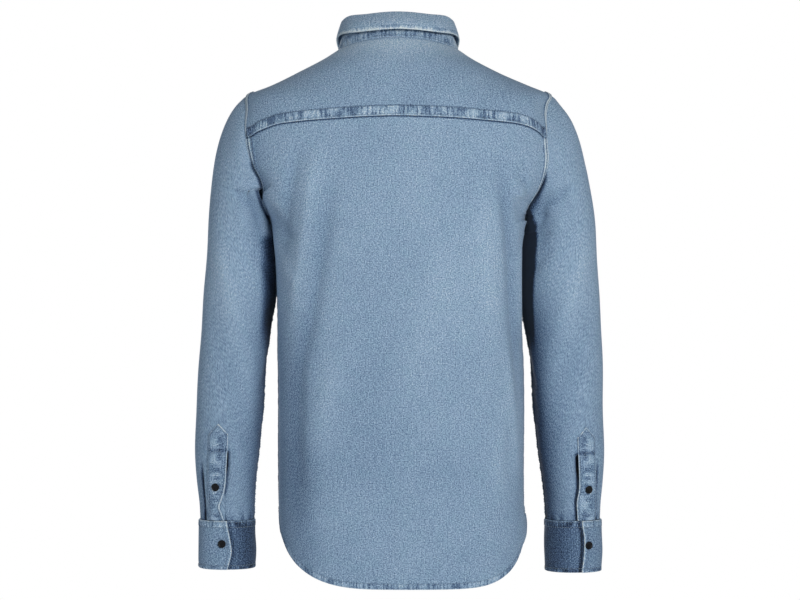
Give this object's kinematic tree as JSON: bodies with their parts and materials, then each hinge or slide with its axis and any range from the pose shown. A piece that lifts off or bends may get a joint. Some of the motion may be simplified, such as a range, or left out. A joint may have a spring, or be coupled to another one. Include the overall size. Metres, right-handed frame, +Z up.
{
  "type": "denim shirt",
  "caption": "Long-sleeved denim shirt in its worn, hollow form, with a turned-down collar, a back yoke, a curved hem and snapped, lapped cuffs.",
  "frame": {"origin": "midway between the shoulders, at the height where the neck seam crosses the shoulder line", "axes": "+Z up, +Y out of the back, -Y out of the front, +X to the wearer's left"},
  "size_m": [0.5509, 0.2498, 0.7634],
  "materials": {
    "denim": "light mid-blue washed cotton denim, right-hand twill, matt",
    "denim_double": "the same washed denim cut double, with edge stitching and rubbed seam edges",
    "press_stud": "matt black enamelled brass press-stud caps"
  },
  "bodies": {
    "root": {"back_panel": "denim", "yoke": "denim", "front_left": "denim", "front_right": "denim", "front_placket": "denim_double", "collar_stand": "denim_double", "collar_leaf": "denim_double", "sleeve_left": "denim", "sleeve_right": "denim", "sleeve_placket_left": "denim_double", "sleeve_placket_right": "denim_double", "cuff_left": "denim_double", "cuff_right": "denim_double", "snap_collar": "press_stud", "snap_front_1": "press_stud", "snap_front_2": "press_stud", "snap_front_3": "press_stud", "snap_front_4": "press_stud", "snap_front_5": "press_stud", "snap_front_6": "press_stud", "snap_placket_left": "press_stud", "snap_placket_right": "press_stud", "snap_cuff_left": "press_stud", "snap_cuff_right": "press_stud"}
  },
  "joints": []
}
